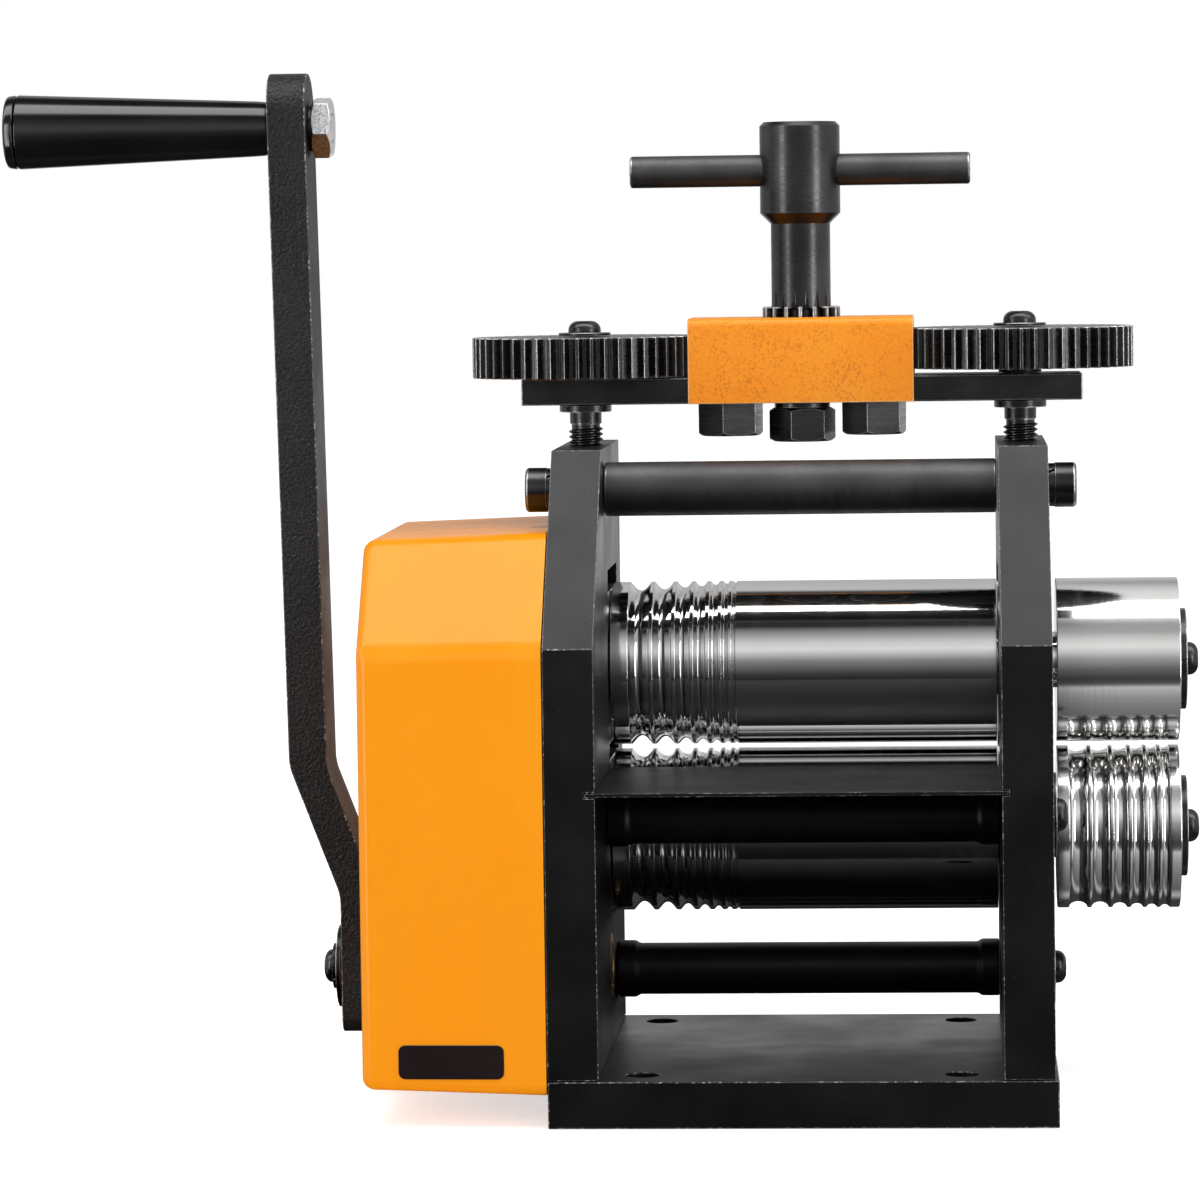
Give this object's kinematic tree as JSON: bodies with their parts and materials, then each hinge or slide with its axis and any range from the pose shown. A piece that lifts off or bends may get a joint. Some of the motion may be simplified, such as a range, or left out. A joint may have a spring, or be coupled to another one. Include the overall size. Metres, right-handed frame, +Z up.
{
  "type": "jewellers rolling mill",
  "caption": "Hand cranked combination rolling mill: grooved steel rolls in a bolted frame, geared screw-down with tee handle, reduction gearbox and side rolls.",
  "frame": {"origin": "middle of the base plate's underside, between the side frames and halfway from front to back", "axes": "+Z up; +X along the rolls towards the side rolls, away from the gearbox and crank; -Y is the working side with the feed shelf"},
  "size_m": [0.3384, 0.126, 0.2917],
  "materials": {
    "black_paint": "satin black paint with a fine speckle",
    "black_textured_paint": "black powder coat with a fine grain",
    "black_oxide": "black oxide steel with a soft sheen",
    "polished_steel": "hardened steel, mirror polished",
    "orange_plastic": "smooth orange gloss moulding",
    "orange_paint": "orange powder coat on bent sheet",
    "black_plastic": "glossy black hard plastic",
    "zinc_plate": "bright zinc plate",
    "bronze": "plain bearing bronze",
    "gear_steel": "machined steel, oiled",
    "spring_steel": "spring wire"
  },
  "bodies": {
    "frame": {"base_plate": "black_paint", "left_side_frame": "black_paint", "right_side_frame": "black_paint", "top_tie_bar": "black_oxide", "top_tie_screw_left": "black_oxide", "top_tie_screw_right": "black_oxide", "front_tie_rod": "black_paint", "rear_tie_rod": "black_paint", "front_tie_screw": "black_oxide", "rear_tie_screw": "black_oxide", "feed_shelf": "black_paint", "lower_bearing_block_left": "gear_steel", "lower_bearing_block_right": "gear_steel", "lower_bush_left": "bronze", "lower_bush_right": "bronze", "left_lift_spring": "spring_steel", "right_lift_spring": "spring_steel", "gear_cover": "orange_plastic", "crank_frame_bush": "bronze", "crank_cover_bush": "bronze"},
    "crank": {"crank_shaft": "gear_steel", "crank_pinion": "gear_steel", "crank_arm": "black_textured_paint", "crank_washer": "black_oxide", "crank_screw": "black_oxide", "grip_bolt": "zinc_plate", "grip_nut": "zinc_plate"},
    "grip": {"handle_grip": "black_plastic", "grip_end_cap": "black_plastic"},
    "lower_roll": {"lower_roll": "polished_steel", "lower_side_roll": "polished_steel", "lower_side_roll_washer": "black_oxide", "lower_side_roll_screw": "black_oxide", "lower_timing_gear": "gear_steel", "roll_drive_gear": "gear_steel", "drive_gear_flange_screw": "black_oxide"},
    "upper_carriage": {"upper_bearing_block_left": "gear_steel", "upper_bearing_block_right": "gear_steel", "upper_bush_left": "bronze", "upper_bush_right": "bronze"},
    "upper_roll": {"upper_roll": "polished_steel", "upper_side_roll": "polished_steel", "upper_side_roll_washer": "black_oxide", "upper_side_roll_screw": "black_oxide", "upper_timing_gear": "gear_steel"},
    "screw_down": {"screw_down_bar": "black_oxide", "gear_guard": "orange_paint", "left_idler_bolt": "black_oxide", "right_idler_bolt": "black_oxide"},
    "spindle": {"tee_spindle": "black_oxide", "tee_bar": "black_oxide", "spindle_nut": "black_oxide"},
    "left_idler": {"left_idler_gear": "black_oxide"},
    "right_idler": {"right_idler_gear": "black_oxide"},
    "left_screw": {"left_pressure_screw": "black_oxide", "left_screw_gear": "black_oxide", "left_gear_screw": "black_oxide"},
    "right_screw": {"right_pressure_screw": "black_oxide", "right_screw_gear": "black_oxide", "right_gear_screw": "black_oxide"}
  },
  "joints": [
    {"name": "crank_turn", "type": "hinge", "parent": "frame", "child": "crank", "pos_m": [0, 0.00477, 0.0362], "axis": [1, 0, 0], "continuous": true},
    {"name": "grip_turn", "type": "hinge", "parent": "crank", "child": "grip", "pos_m": [-0.18, 0.00477, 0.2762], "axis": [1, 0, 0], "continuous": true},
    {"name": "lower_roll_turn", "type": "hinge", "parent": "frame", "child": "lower_roll", "pos_m": [0, 0.025, 0.073], "axis": [1, 0, 0], "continuous": true},
    {"name": "upper_blocks_slide", "type": "slide", "parent": "frame", "child": "upper_carriage", "axis": [0, 0, 1], "range_m": [-0.00101, 0.00501], "stiffness_N_per_m": 2000, "springref_m": 0.0122, "deforming": ["left_lift_spring", "right_lift_spring"]},
    {"name": "upper_roll_turn", "type": "hinge", "parent": "upper_carriage", "child": "upper_roll", "pos_m": [0, 0.025, 0.1212], "axis": [1, 0, 0], "continuous": true},
    {"name": "screw_down_slide", "type": "slide", "parent": "frame", "child": "screw_down", "axis": [0, 0, 1], "range_m": [-0.001, 0.005]},
    {"name": "spindle_turn", "type": "hinge", "parent": "screw_down", "child": "spindle", "pos_m": [0, 0.025, 0.2], "axis": [0, 0, 1], "range_deg": [-752, 3755]},
    {"name": "left_idler_turn", "type": "hinge", "parent": "screw_down", "child": "left_idler", "pos_m": [-0.02063, 0.025, 0.2], "axis": [0, 0, 1], "range_deg": [-3532, 708]},
    {"name": "right_idler_turn", "type": "hinge", "parent": "screw_down", "child": "right_idler", "pos_m": [0.02063, 0.025, 0.2], "axis": [0, 0, 1], "range_deg": [-3532, 708]},
    {"name": "left_screw_turn", "type": "hinge", "parent": "screw_down", "child": "left_screw", "pos_m": [-0.0625, 0.025, 0.2], "axis": [0, 0, 1], "range_deg": [-242, 1203]},
    {"name": "right_screw_turn", "type": "hinge", "parent": "screw_down", "child": "right_screw", "pos_m": [0.0625, 0.025, 0.2], "axis": [0, 0, 1], "range_deg": [-242, 1203]}
  ],
  "couplings": [
    {"joint": "lower_roll_turn", "follows": "crank_turn", "ratio": -0.4},
    {"joint": "upper_roll_turn", "follows": "crank_turn", "ratio": 0.4},
    {"joint": "upper_blocks_slide", "follows": "screw_down_slide", "ratio": 1},
    {"joint": "spindle_turn", "follows": "screw_down_slide", "rad_per_m": 13090},
    {"joint": "left_idler_turn", "follows": "screw_down_slide", "rad_per_m": -12320},
    {"joint": "right_idler_turn", "follows": "screw_down_slide", "rad_per_m": -12320},
    {"joint": "left_screw_turn", "follows": "screw_down_slide", "rad_per_m": 4188.8},
    {"joint": "right_screw_turn", "follows": "screw_down_slide", "rad_per_m": 4188.8}
  ]
}
